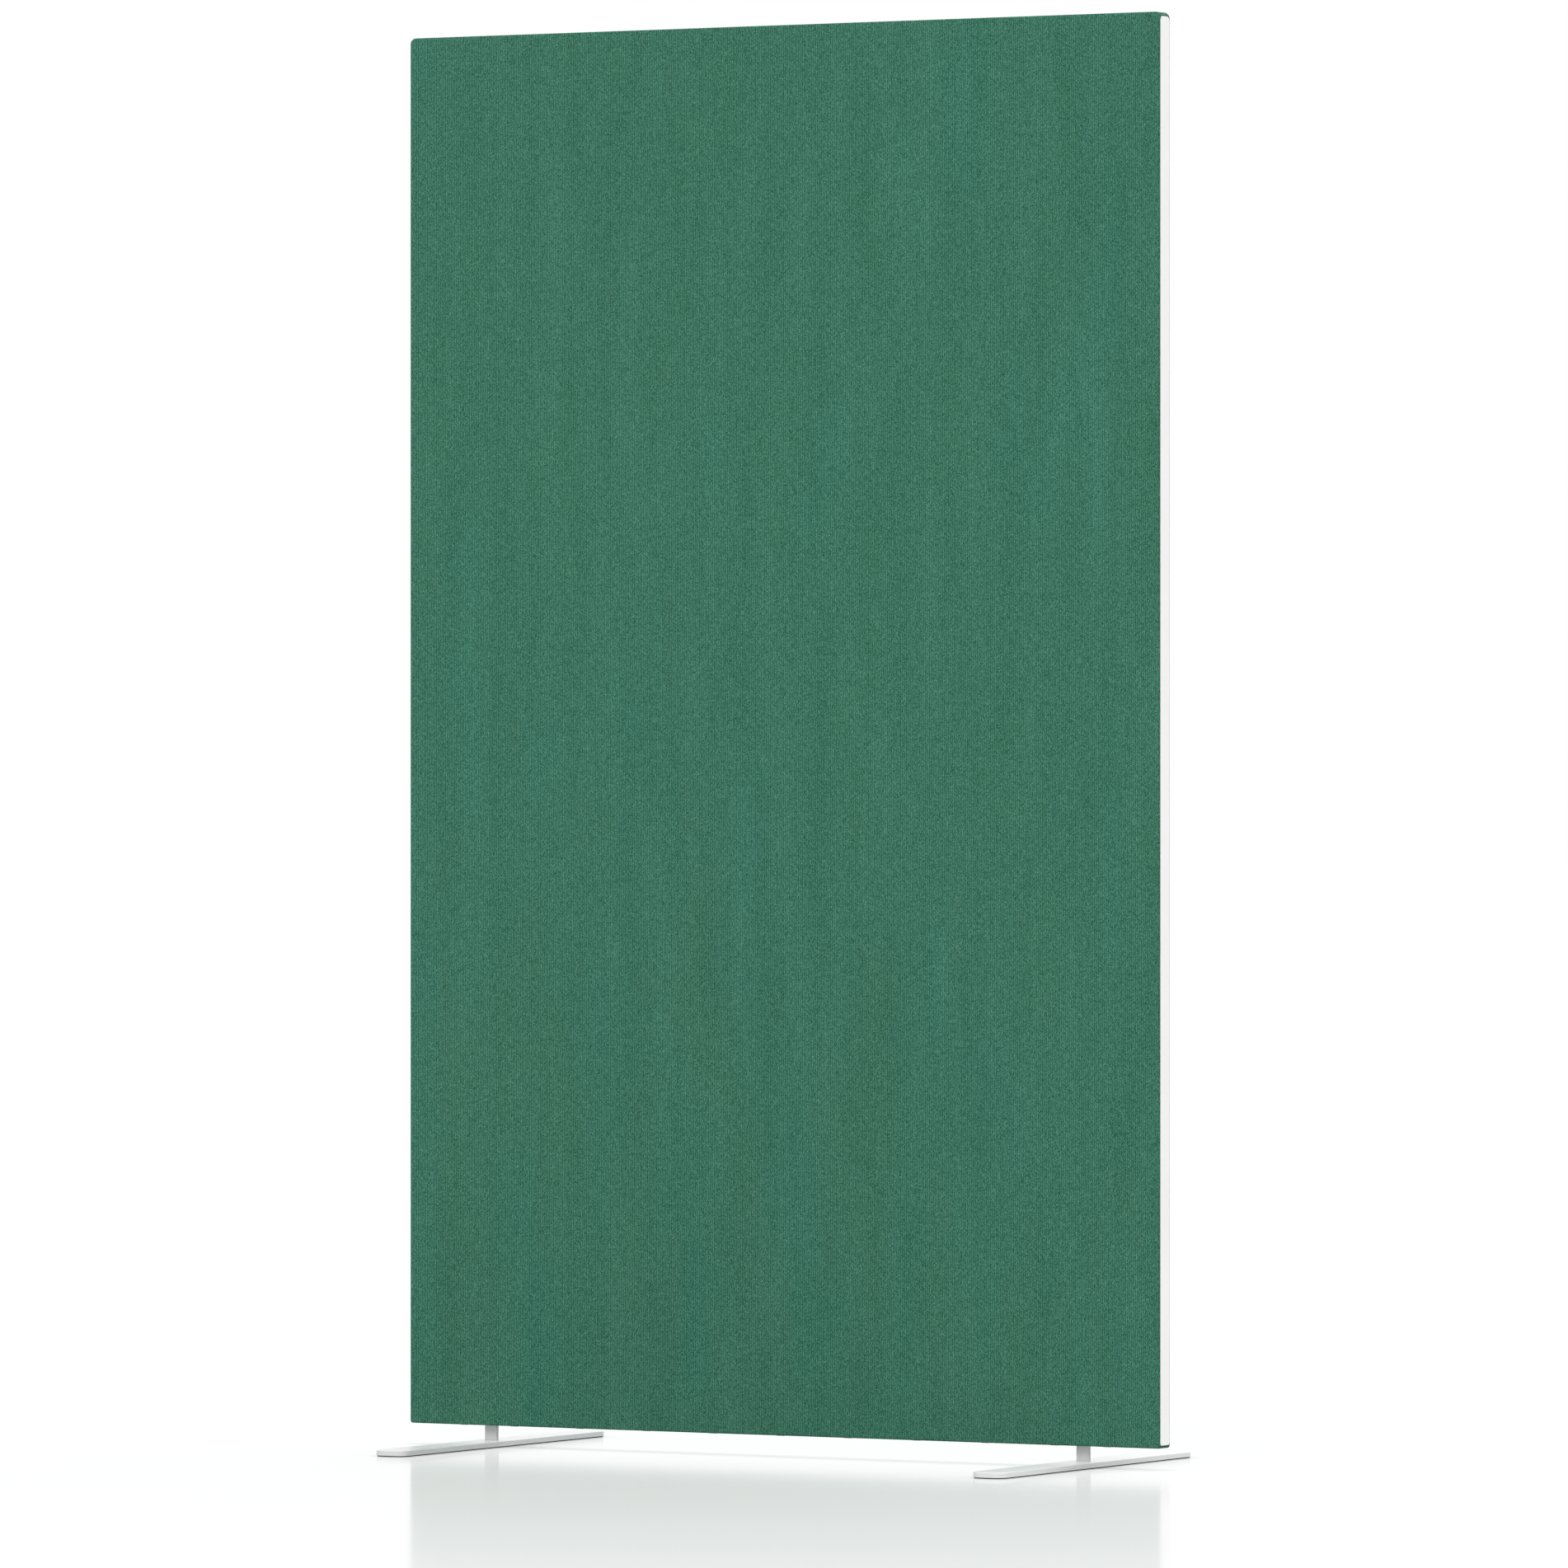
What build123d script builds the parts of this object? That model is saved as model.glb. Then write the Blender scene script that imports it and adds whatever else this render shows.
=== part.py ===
"""A free-standing acoustic divider screen: a slim fabric-covered panel on two flat steel feet.

X runs along the width, Y through the thickness with the front at -Y, and Z up.
The origin is on the floor, under the middle of the screen. Every size is in millimetres.
"""

import os

from build123d import *

# Driving dimensions of the whole screen
panel_width = 998.0
total_height = 1650.0
floor_gap = 25.0
panel_thickness = 24.0
top_corner_radius = 7.0
bottom_corner_radius = 3.0

# Fabric cover
cover_thickness = 1.0
cover_edge_radius = 1.5
hem_gap = 0.5
hem_corner_length = 14.0
post_opening_clearance = 0.5

# Wooden frame
stile_width = 45.0
top_rail_height = 45.0
mid_rail_height = 45.0
bottom_rail_height = 70.0

# Dowels in the frame's joints
dowel_diameter = 8.0
dowel_depth_in_stile = 18.0
dowel_depth_in_rail = 20.0
dowel_chamfer = 0.8
dowel_clearance = 0.05
dowel_end_clearance = 0.5
dowel_pitch_share = 0.5

# Core of the panel
septum_thickness = 3.0
septum_groove_depth = 6.0
septum_side_clearance = 0.1
septum_end_clearance = 0.5
batt_clearance = 0.3

# White strip let into each side edge
strip_top_margin = 5.0
strip_bottom_margin = 3.3
strip_thickness = 2.4
strip_top_radius = 5.0
strip_bottom_radius = 3.0
strip_edge_radius = 0.6
strip_clearance = 0.1
strip_relief_depth = 1.0
strip_relief_clearance = 0.3
strip_leg_thickness = 1.1
strip_leg_length = 6.6
strip_leg_clearance = 0.2
strip_hook_gap = 0.2
strip_hook_height = 1.4

# Aluminium channel that clamps the fabric's side flaps and holds the strip
channel_width = 8.0
channel_depth = 11.0
channel_wall = 1.0
channel_floor = 1.5
channel_flange_width = 4.0
channel_flange_thickness = 0.8
channel_ridge_reach = 0.5
channel_ridge_height = 0.8
channel_end_margin = 8.0
channel_clearance = 0.1

# Wood screws through the channel's floor
channel_screw_count = 6
channel_screw_end_inset = 80.0
channel_screw_head_diameter = 5.0
channel_screw_head_height = 2.0
channel_screw_diameter = 3.2
channel_screw_length = 16.0
screw_tip_length = 3.0
screw_tip_share = 0.15
screw_hole_clearance = 0.05
screw_recess_width = 0.8
screw_recess_depth = 1.0
screw_recess_share = 0.6

# Feet
foot_inset = 105.0
foot_width = 42.0
foot_length = 460.0
foot_thickness = 6.0
foot_end_radius = 14.0
foot_top_edge_radius = 0.8
foot_bottom_edge_radius = 0.4
pad_thickness = 1.0
pad_inset = 1.0
post_width = 16.0
post_depth = 5.0
post_edge_radius = 0.5
post_chamfer = 0.4
post_weld_clearance = 0.1

# Steel sockets in the bottom rail
post_fit_clearance = 0.25
socket_wall = 1.5
socket_cap = 2.0
socket_cover = 9.0
socket_flange_length = 44.0
socket_flange_margin = 1.0
socket_flange_thickness = 2.0
socket_clearance = 0.1
socket_screw_pitch = 32.0
socket_screw_head_diameter = 6.8
socket_screw_head_height = 1.8
socket_screw_diameter = 3.2
socket_screw_length = 18.0

# Staples in the hems
staple_width = 10.0
staple_wire_width = 1.0
staple_wire_thickness = 0.6
staple_leg_length = 8.0
staple_pitch = 90.0
staple_row_offset = 6.0
staple_clearance = 0.05
staple_socket_margin = 12.0

# Every cutting solid runs this far past the face that it opens
overrun = 1.0

# Places and sizes worked out from the values above
panel_half = panel_width / 2
panel_front = panel_thickness / 2
frame_thickness = panel_thickness - 2 * cover_thickness
frame_front = frame_thickness / 2
frame_half = panel_half - cover_thickness
frame_bottom = floor_gap + cover_thickness
frame_top = total_height - cover_thickness
rail_half = frame_half - stile_width

lower_pocket_bottom = frame_bottom + bottom_rail_height
upper_pocket_top = frame_top - top_rail_height
mid_rail_bottom = (lower_pocket_bottom + upper_pocket_top - mid_rail_height) / 2
mid_rail_top = mid_rail_bottom + mid_rail_height
pockets = {
    "lower": (lower_pocket_bottom, mid_rail_bottom),
    "upper": (mid_rail_top, upper_pocket_top),
}
rails = {
    "bottom_rail": (frame_bottom, lower_pocket_bottom),
    "mid_rail": (mid_rail_bottom, mid_rail_top),
    "top_rail": (upper_pocket_top, frame_top),
}
septum_groove_half = septum_thickness / 2 + septum_side_clearance

strip_bottom = floor_gap + strip_bottom_margin
strip_top = total_height - strip_top_margin
strip_half = frame_front - strip_clearance
side_face = frame_half - strip_thickness
strip_seat = side_face + cover_thickness

channel_half = channel_width / 2
channel_inner_half = channel_half - channel_wall
channel_flange_half = channel_half + channel_flange_width
channel_bottom = strip_bottom + channel_end_margin
channel_top = strip_top - channel_end_margin
channel_floor_bottom = side_face - channel_depth
channel_floor_top = channel_floor_bottom + channel_floor
channel_lip_top = strip_seat + channel_flange_thickness
channel_screw_span = channel_top - channel_bottom - 2 * channel_screw_end_inset
channel_screw_pitch = channel_screw_span / (channel_screw_count - 1)

foot_centre = panel_half - foot_inset
foot_top = pad_thickness + foot_thickness
socket_inner_length = post_width + 2 * post_fit_clearance
socket_inner_width = post_depth + 2 * post_fit_clearance
socket_outer_length = socket_inner_length + 2 * socket_wall
socket_outer_width = socket_inner_width + 2 * socket_wall
socket_flange_width = frame_thickness - 2 * socket_flange_margin
socket_top = lower_pocket_bottom - septum_groove_depth - socket_cover
post_top = socket_top - socket_cap

staple_inner_reach = foot_centre - socket_flange_length / 2 - staple_socket_margin
staple_outer_place = foot_centre + socket_flange_length / 2 + staple_socket_margin
staple_steps = int(staple_inner_reach // staple_pitch)


def block(x0, x1, y0, y1, z0, z1):
    """A box from its lowest corner to its highest one."""
    box = Box(x1 - x0, y1 - y0, z1 - z0, align=(Align.MIN, Align.MIN, Align.MIN))
    return Pos(x0, y0, z0) * box


def slab(half_x, half_y, z0, z1, x=0):
    """A box centred on the point x of the X axis, between two heights."""
    return block(x - half_x, x + half_x, -half_y, half_y, z0, z1)


def rod_x(x0, x1, radius, z):
    """A round rod or hole along X, in the panel's middle plane."""
    rod = Cylinder(radius, x1 - x0, align=(Align.CENTER, Align.CENTER, Align.MIN))
    return Pos(x0, 0, z) * Rot(0, 90, 0) * rod


def rod_z(x, radius, z0, z1):
    """A round rod or hole along Z, in the panel's middle plane."""
    rod = Cylinder(radius, z1 - z0, align=(Align.CENTER, Align.CENTER, Align.MIN))
    return Pos(x, 0, z0) * rod


def other_side(shape):
    """The same piece on the left-hand side of the screen."""
    return mirror(shape, about=Plane.YZ)


def along_y(shape, x_end, z_end):
    """The edge along Y at the left or right end and at the bottom or top, each given as 0 or -1."""
    edges = shape.edges().filter_by(Axis.Y)
    return edges.group_by(Axis.X)[x_end].group_by(Axis.Z)[z_end]


def strip_blank(x0, x1, clearance):
    """The strip's outline seen from the side, with its rounded ends, as a plate between x0 and x1."""
    half = strip_half + clearance
    plate = block(x0, x1, -half, half, strip_bottom - clearance, strip_top + clearance)
    ends = plate.edges().filter_by(Axis.X).group_by(Axis.Z)
    plate = fillet(ends[-1], strip_top_radius + clearance)
    ends = plate.edges().filter_by(Axis.X).group_by(Axis.Z)
    return fillet(ends[0], strip_bottom_radius + clearance)


def side_recess():
    """What the right stile's outer face is lowered by, so that the flap and the strip lie flush."""
    return block(
        side_face,
        frame_half + overrun,
        -frame_front - overrun,
        frame_front + overrun,
        strip_bottom - cover_thickness,
        strip_top + cover_thickness,
    )


def channel_slot(x0, x1):
    """The slot for the right channel, between x0 and x1."""
    half = channel_half + channel_clearance
    return block(x0, x1, -half, half, channel_bottom - channel_clearance, channel_top + channel_clearance)


def frame_envelope():
    """The whole space that the frame and the core fill, which the cover is drawn over."""
    shape = slab(frame_half, frame_front, frame_bottom, frame_top)
    for x_end in (0, -1):
        shape = fillet(along_y(shape, x_end, -1), top_corner_radius - cover_thickness)
        shape = fillet(along_y(shape, x_end, 0), bottom_corner_radius - cover_thickness)
    return shape - side_recess() - other_side(side_recess())


def dowel_places(z0, z1):
    """The heights of the two dowels in a rail between z0 and z1."""
    middle = (z0 + z1) / 2
    reach = (z1 - z0) * dowel_pitch_share / 2
    return (middle - reach, middle + reach)


def dowel_holes():
    """The holes for every dowel on the right-hand side, as one tool for stiles and rails."""
    radius = dowel_diameter / 2 + dowel_clearance
    x0 = rail_half - dowel_depth_in_rail - dowel_end_clearance
    x1 = rail_half + dowel_depth_in_stile + dowel_end_clearance
    return [rod_x(x0, x1, radius, z) for ends in rails.values() for z in dowel_places(*ends)]


def septum_slots():
    """The grooves for both septum sheets, with the pockets between them, as one tool each."""
    reach = rail_half + septum_groove_depth
    return [
        slab(reach, septum_groove_half, z0 - septum_groove_depth, z1 + septum_groove_depth)
        for z0, z1 in pockets.values()
    ]


def channel_screw_heights():
    """The heights of the screws along a channel."""
    first = channel_bottom + channel_screw_end_inset
    return [first + i * channel_screw_pitch for i in range(channel_screw_count)]


def stile():
    """The right stile, which runs the panel's full height."""
    shape = frame_envelope() & block(
        rail_half, frame_half + overrun, -frame_front, frame_front, frame_bottom, frame_top
    )
    pilot = channel_screw_diameter / 2 + screw_hole_clearance
    tip = channel_floor_top - channel_screw_length - dowel_end_clearance
    for z in channel_screw_heights():
        shape -= rod_x(tip, channel_floor_bottom + overrun, pilot, z)
    shape -= channel_slot(channel_floor_bottom, frame_half + overrun)
    for tool in dowel_holes() + septum_slots():
        shape -= tool
    return shape


def rail(z0, z1):
    """A rail between the stiles, with its dowel holes and grooves."""
    shape = slab(rail_half, frame_front, z0, z1)
    for tool in dowel_holes():
        shape = shape - tool - other_side(tool)
    for tool in septum_slots():
        shape -= tool
    return shape


def socket_seat(x):
    """The recess, mortise and pilot holes for one foot socket."""
    flange_half = socket_flange_length / 2 + socket_clearance
    flange_side = socket_flange_width / 2 + socket_clearance
    flange_top = frame_bottom + socket_flange_thickness
    mortise_half = socket_outer_length / 2 + socket_clearance
    mortise_side = socket_outer_width / 2 + socket_clearance
    pilot = socket_screw_diameter / 2 + screw_hole_clearance
    tip = frame_bottom + socket_screw_length + dowel_end_clearance
    seat = slab(flange_half, flange_side, frame_bottom - overrun, flange_top, x)
    seat += slab(mortise_half, mortise_side, frame_bottom, socket_top, x)
    for side in (-1, 1):
        seat += rod_z(x + side * socket_screw_pitch / 2, pilot, frame_bottom, tip)
    return seat


def staple_places():
    """The centres of the staples, as (x, y), in two rows clear of the sockets."""
    inner = [i * staple_pitch for i in range(-staple_steps, staple_steps + 1)]
    along = [-staple_outer_place] + inner + [staple_outer_place]
    return [(x, y) for x in along for y in (-staple_row_offset, staple_row_offset)]


def staple_leg_holes():
    """The narrow holes that the staples' legs make in the hems and the bottom rail."""
    half_x = staple_wire_thickness / 2 + staple_clearance
    half_y = staple_wire_width / 2 + staple_clearance
    reach = (staple_width - staple_wire_thickness) / 2
    top = floor_gap + staple_leg_length + staple_clearance
    return [
        Pos(0, y, 0) * slab(half_x, half_y, floor_gap - overrun, top, x + side * reach)
        for x, y in staple_places()
        for side in (-1, 1)
    ]


def bottom_rail():
    """The tall bottom rail, which holds the sockets and the staples."""
    shape = rail(*rails["bottom_rail"])
    shape = shape - socket_seat(-foot_centre) - socket_seat(foot_centre)
    return shape - staple_leg_holes()


def frame_dowels():
    """Two dowels in each joint between a rail and a stile."""
    length = dowel_depth_in_rail + dowel_depth_in_stile
    dowel = Cylinder(dowel_diameter / 2, length, align=(Align.CENTER, Align.CENTER, Align.MIN))
    dowel = chamfer(dowel.edges().filter_by(GeomType.CIRCLE), dowel_chamfer)
    dowels = []
    for ends in rails.values():
        for z in dowel_places(*ends):
            right = Pos(rail_half - dowel_depth_in_rail, 0, z) * Rot(0, 90, 0) * dowel
            dowels += [right, other_side(right)]
    return dowels


def septum(z0, z1):
    """A hardboard sheet whose edges sit in the frame's grooves."""
    reach = septum_groove_depth - septum_end_clearance
    return slab(rail_half + reach, septum_thickness / 2, z0 - reach, z1 + reach)


def absorber(z0, z1, side):
    """A felt batt between the septum and the fabric, at the front for side -1 and the rear for 1."""
    half = rail_half - batt_clearance
    near, far = sorted((side * septum_thickness / 2, side * frame_front))
    return block(-half, half, near, far, z0 + batt_clearance, z1 - batt_clearance)


def edge_channel():
    """The right aluminium channel, with flanges over the fabric's flaps and ridges for the strip."""
    ends = (channel_bottom, channel_top)
    shape = block(channel_floor_bottom, channel_lip_top, -channel_half, channel_half, *ends)
    shape += block(strip_seat, channel_lip_top, -channel_flange_half, channel_flange_half, *ends)
    shape -= block(
        channel_floor_top, channel_lip_top, -channel_inner_half, channel_inner_half, *ends
    )
    ridge_inner = channel_inner_half - channel_ridge_reach
    for near, far in ((-channel_inner_half, -ridge_inner), (ridge_inner, channel_inner_half)):
        shape += block(side_face - channel_ridge_height, side_face, near, far, *ends)
    radius = channel_screw_diameter / 2 + channel_clearance
    for z in channel_screw_heights():
        shape -= rod_x(channel_floor_bottom - overrun, channel_floor_top + overrun, radius, z)
    return shape


def strip_leg():
    """One of the two snap legs of the right strip, on the +Y side."""
    web = strip_seat + strip_relief_depth
    tip = web - strip_leg_length
    outer = channel_inner_half - channel_ridge_reach - strip_leg_clearance
    inner = outer - strip_leg_thickness
    hook_outer = outer + channel_ridge_reach
    hook_top = side_face - channel_ridge_height - strip_hook_gap
    outline = Polyline(
        (web, inner),
        (web, outer),
        (hook_top, outer),
        (hook_top, hook_outer),
        (hook_top - strip_hook_height, hook_outer),
        (tip, outer),
        (tip, inner),
        close=True,
    )
    leg = extrude(make_face(outline), amount=channel_top - channel_bottom)
    return Pos(0, 0, channel_bottom) * leg


def edge_strip():
    """The right white strip: a flat cap with rounded ends and two legs that snap into the channel."""
    shape = strip_blank(strip_seat, panel_half, 0)
    shape = fillet(shape.faces().sort_by(Axis.X)[-1].edges(), strip_edge_radius)
    half = channel_flange_half + strip_relief_clearance
    shape -= block(
        strip_seat - overrun,
        strip_seat + strip_relief_depth,
        -half,
        half,
        channel_bottom - strip_relief_clearance,
        channel_top + strip_relief_clearance,
    )
    return shape + strip_leg() + mirror(strip_leg(), about=Plane.XZ)


def screw_shank(radius, z0, length):
    """A plain shank that starts at z0 and tapers to a blunt point at length."""
    shank = rod_z(0, radius, z0, length - screw_tip_length)
    tip = Cone(
        radius, radius * screw_tip_share, screw_tip_length, align=(Align.CENTER, Align.CENTER, Align.MIN)
    )
    return shank + Pos(0, 0, length - screw_tip_length) * tip


def cross_recess(head_diameter, z0):
    """The cross-shaped recess that a driver turns, cut into a head whose outer face is at z0."""
    half = head_diameter * screw_recess_share / 2
    top = z0 + screw_recess_depth
    return [
        slab(half, screw_recess_width / 2, z0 - overrun, top),
        slab(screw_recess_width / 2, half, z0 - overrun, top),
    ]


def channel_screw():
    """A pan-head wood screw that points along +Z, with the underside of its head at 0."""
    head = rod_z(0, channel_screw_head_diameter / 2, -channel_screw_head_height, 0)
    head = fillet(head.edges().group_by(Axis.Z)[0], channel_screw_head_height / 2)
    screw = head + screw_shank(channel_screw_diameter / 2, 0, channel_screw_length)
    return screw - cross_recess(channel_screw_head_diameter, -channel_screw_head_height)


def channel_screws():
    """The screws of the right channel, heads on its floor and shanks in the stile."""
    screw = Rot(0, -90, 0) * channel_screw()
    return [Pos(channel_floor_top, 0, z) * screw for z in channel_screw_heights()]


def socket_screw():
    """A countersunk wood screw that points along +Z, with the face of its head at 0."""
    head = Cone(
        socket_screw_head_diameter / 2,
        socket_screw_diameter / 2,
        socket_screw_head_height,
        align=(Align.CENTER, Align.CENTER, Align.MIN),
    )
    shank = screw_shank(socket_screw_diameter / 2, socket_screw_head_height, socket_screw_length)
    return head + shank - cross_recess(socket_screw_head_diameter, 0)


def socket_screws():
    """The two screws of the right socket's flange."""
    screw = socket_screw()
    reach = socket_screw_pitch / 2
    return [Pos(foot_centre + side * reach, 0, frame_bottom) * screw for side in (-1, 1)]


def foot_socket():
    """The right steel socket: a closed sleeve for the post, on a flange under the bottom rail."""
    flange_top = frame_bottom + socket_flange_thickness
    shape = slab(
        socket_flange_length / 2, socket_flange_width / 2, frame_bottom, flange_top, foot_centre
    )
    shape += slab(socket_outer_length / 2, socket_outer_width / 2, frame_bottom, socket_top, foot_centre)
    shape -= slab(
        socket_inner_length / 2, socket_inner_width / 2, frame_bottom - overrun, post_top, foot_centre
    )
    hole = Cone(
        socket_screw_head_diameter / 2 + screw_hole_clearance,
        socket_screw_diameter / 2 + screw_hole_clearance,
        socket_screw_head_height,
        align=(Align.CENTER, Align.CENTER, Align.MIN),
    )
    radius = socket_screw_diameter / 2 + screw_hole_clearance
    for side in (-1, 1):
        x = foot_centre + side * socket_screw_pitch / 2
        shape -= Pos(x, 0, frame_bottom) * hole
        shape -= rod_z(x, radius, frame_bottom, flange_top + overrun)
    return shape


def foot_blank(inset, z0, z1):
    """The right foot's outline seen from above, inset all round, between two heights."""
    shape = slab(foot_width / 2 - inset, foot_length / 2 - inset, z0, z1, foot_centre)
    return fillet(shape.edges().filter_by(Axis.Z), foot_end_radius - inset)


def foot_plate():
    """The right steel foot plate, with the slot that the post is welded into."""
    shape = foot_blank(0, pad_thickness, foot_top)
    shape = fillet(shape.faces().sort_by(Axis.Z)[-1].edges(), foot_top_edge_radius)
    shape = fillet(shape.faces().sort_by(Axis.Z)[0].edges(), foot_bottom_edge_radius)
    half_x = post_width / 2 + post_weld_clearance
    half_y = post_depth / 2 + post_weld_clearance
    return shape - slab(half_x, half_y, pad_thickness - overrun, foot_top + overrun, foot_centre)


def foot_post():
    """The right flat bar, from the underside of the plate up to the cap of the socket."""
    shape = slab(post_width / 2, post_depth / 2, pad_thickness, post_top, foot_centre)
    shape = fillet(shape.edges().filter_by(Axis.Z), post_edge_radius)
    return chamfer(shape.faces().sort_by(Axis.Z)[-1].edges(), post_chamfer)


def foot_pad():
    """The right anti-slip pad, a thin sheet glued under the plate."""
    return foot_blank(pad_inset, 0, pad_thickness)


def hem_staples():
    """The staples: a crown under the hem and two legs up into the bottom rail."""
    reach = (staple_width - staple_wire_thickness) / 2
    crown_bottom = floor_gap - staple_wire_thickness
    staple = slab(staple_width / 2, staple_wire_width / 2, crown_bottom, floor_gap)
    for side in (-1, 1):
        staple += slab(
            staple_wire_thickness / 2,
            staple_wire_width / 2,
            crown_bottom,
            floor_gap + staple_leg_length,
            side * reach,
        )
    return [Pos(x, y, 0) * staple for x, y in staple_places()]


def cover_blank():
    """The outside of the fabric: the panel's outline with softened front and rear edges."""
    shape = slab(panel_half, panel_front, floor_gap, total_height)
    for x_end in (0, -1):
        shape = fillet(along_y(shape, x_end, -1), top_corner_radius)
        shape = fillet(along_y(shape, x_end, 0), bottom_corner_radius)
    faces = shape.faces().sort_by(Axis.Y)
    return fillet(faces[0].edges() + faces[-1].edges(), cover_edge_radius)


def fabric_cover():
    """The fabric, drawn over the frame, tucked in at both sides and hemmed under the bottom rail."""
    shape = cover_blank() - frame_envelope()
    pocket = strip_blank(strip_seat, panel_half + overrun, strip_clearance)
    slot = channel_slot(side_face - overrun, panel_half + overrun)
    for tool in (pocket, slot):
        shape = shape - tool - other_side(tool)
    underside = (floor_gap - overrun, frame_bottom + overrun)
    shape -= slab(panel_half - hem_corner_length, hem_gap / 2, *underside)
    half_x = post_width / 2 + post_opening_clearance
    half_y = post_depth / 2 + post_opening_clearance
    for side in (-1, 1):
        shape -= slab(half_x, half_y, *underside, side * foot_centre)
    return shape - staple_leg_holes()


def both_sides(name, shape):
    """The right piece and its mirror image, under their own names."""
    pieces = shape if isinstance(shape, list) else [shape]
    return {"right_" + name: pieces, "left_" + name: [other_side(piece) for piece in pieces]}


def screen():
    """Every node of the screen, as a list of its solids."""
    nodes = {
        "fabric_cover": [fabric_cover()],
        "top_rail": [rail(*rails["top_rail"])],
        "mid_rail": [rail(*rails["mid_rail"])],
        "bottom_rail": [bottom_rail()],
        "frame_dowels": frame_dowels(),
        "hem_staples": hem_staples(),
    }
    for place, ends in pockets.items():
        nodes[place + "_septum"] = [septum(*ends)]
        nodes["front_" + place + "_absorber"] = [absorber(*ends, -1)]
        nodes["rear_" + place + "_absorber"] = [absorber(*ends, 1)]
    nodes |= both_sides("stile", stile())
    nodes |= both_sides("edge_channel", edge_channel())
    nodes |= both_sides("channel_screws", channel_screws())
    nodes |= both_sides("edge_strip", edge_strip())
    nodes |= both_sides("foot_socket", foot_socket())
    nodes |= both_sides("socket_screws", socket_screws())
    nodes |= both_sides("foot_post", foot_post())
    nodes |= both_sides("foot_plate", foot_plate())
    nodes |= both_sides("foot_pad", foot_pad())
    return nodes


def main():
    """Writes one STEP file for each node."""
    os.makedirs("parts", exist_ok=True)
    for name, pieces in screen().items():
        solids = [solid for piece in pieces for solid in piece.solids()]
        shape = solids[0] if len(solids) == 1 else Compound(children=solids)
        export_step(shape, f"parts/{name}.step")


main()
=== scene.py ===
"""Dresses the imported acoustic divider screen: its cloth, felt, timber, plastic and metal, in a white studio.

Lengths are in metres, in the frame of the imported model: X along the screen's width, Y through its
thickness with the front at -Y, and Z up from the floor.
"""

import logging
import math
from dataclasses import dataclass, field
from enum import Enum
from typing import Any, Mapping, Sequence

import bmesh
import bpy
import numpy as np
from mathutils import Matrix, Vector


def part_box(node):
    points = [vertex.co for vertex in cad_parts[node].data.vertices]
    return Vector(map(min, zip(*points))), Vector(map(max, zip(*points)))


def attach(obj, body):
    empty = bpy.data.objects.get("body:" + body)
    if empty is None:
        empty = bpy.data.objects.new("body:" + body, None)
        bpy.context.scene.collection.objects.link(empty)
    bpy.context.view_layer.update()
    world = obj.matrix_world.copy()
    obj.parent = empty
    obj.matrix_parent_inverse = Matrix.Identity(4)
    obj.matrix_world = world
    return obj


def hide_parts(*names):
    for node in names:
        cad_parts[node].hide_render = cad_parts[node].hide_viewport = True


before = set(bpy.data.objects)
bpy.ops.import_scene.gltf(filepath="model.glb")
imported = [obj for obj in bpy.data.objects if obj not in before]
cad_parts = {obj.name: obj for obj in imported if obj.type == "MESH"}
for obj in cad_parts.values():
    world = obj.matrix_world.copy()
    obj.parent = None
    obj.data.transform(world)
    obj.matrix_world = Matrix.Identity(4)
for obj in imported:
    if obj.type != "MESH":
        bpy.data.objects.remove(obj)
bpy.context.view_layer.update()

BODY = "root"
MM = 0.001
CLOSE = 0.01 * MM
CUT_MAP = "cut"

log = logging.getLogger("divider_screen")

Array = np.ndarray
Colour = tuple[float, float, float]
PerAxis = tuple[float, float, float]


def linear(red: float, green: float, blue: float) -> Colour:
    """A colour read off a screen, from 0 to 255, as the linear light that shaders take.

    Args:
        red: The red part.
        green: The green part.
        blue: The blue part.

    Returns:
        The three linear parts, from 0 to 1, by the standard screen curve: a straight foot, then a power
        of 2.4.
    """
    parts = (part / 255 for part in (red, green, blue))
    return tuple(p / 12.92 if p <= 0.04045 else ((p + 0.055) / 1.055) ** 2.4 for p in parts)


def solid(colour: Colour) -> tuple[float, float, float, float]:
    """A colour with full cover, as colour sockets take it."""
    return (*colour, 1.0)


def grey(level: float) -> tuple[float, float, float, float]:
    """An even grey of that linear level, with full cover."""
    return solid((level, level, level))


class Along(Enum):
    """The way that a grain or a brushed finish runs."""

    WIDTH = 0
    THICKNESS = 1
    HEIGHT = 2


# Shader graphs


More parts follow.
